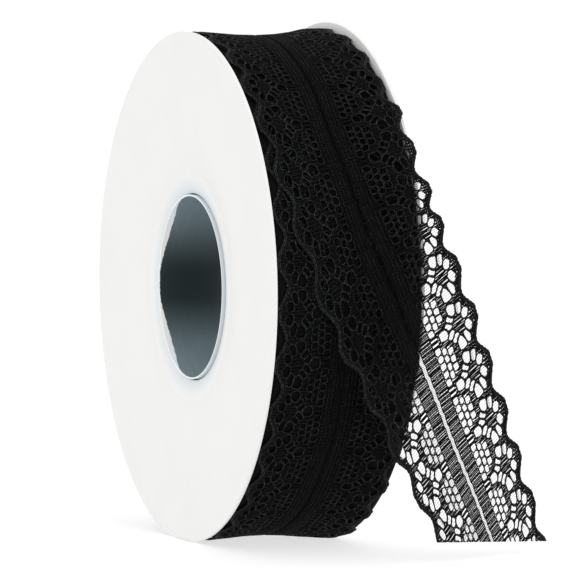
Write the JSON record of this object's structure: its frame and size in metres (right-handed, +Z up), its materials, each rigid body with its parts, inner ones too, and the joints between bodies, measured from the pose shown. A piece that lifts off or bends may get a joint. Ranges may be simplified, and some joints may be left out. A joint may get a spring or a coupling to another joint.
{
  "type": "roll of lace trim",
  "caption": "Flanged spool wound with wide black scalloped lace trim, its loose end hanging over the rim beside the roll",
  "frame": {"origin": "the middle of the whole footprint, on the surface that the roll stands on", "axes": "X runs along the spool's axis to the right flange, the loose end hangs on the -Y side, Z is up"},
  "size_m": [0.0878, 0.1638, 0.155],
  "materials": {
    "flange": "smooth satin white",
    "core": "glossy dark",
    "lace": "openwork lace of fine black thread"
  },
  "bodies": {
    "root": {"flange_left": "flange", "flange_right": "flange", "core": "core", "lace_roll": "lace", "lace_tail": "lace"}
  },
  "joints": []
}
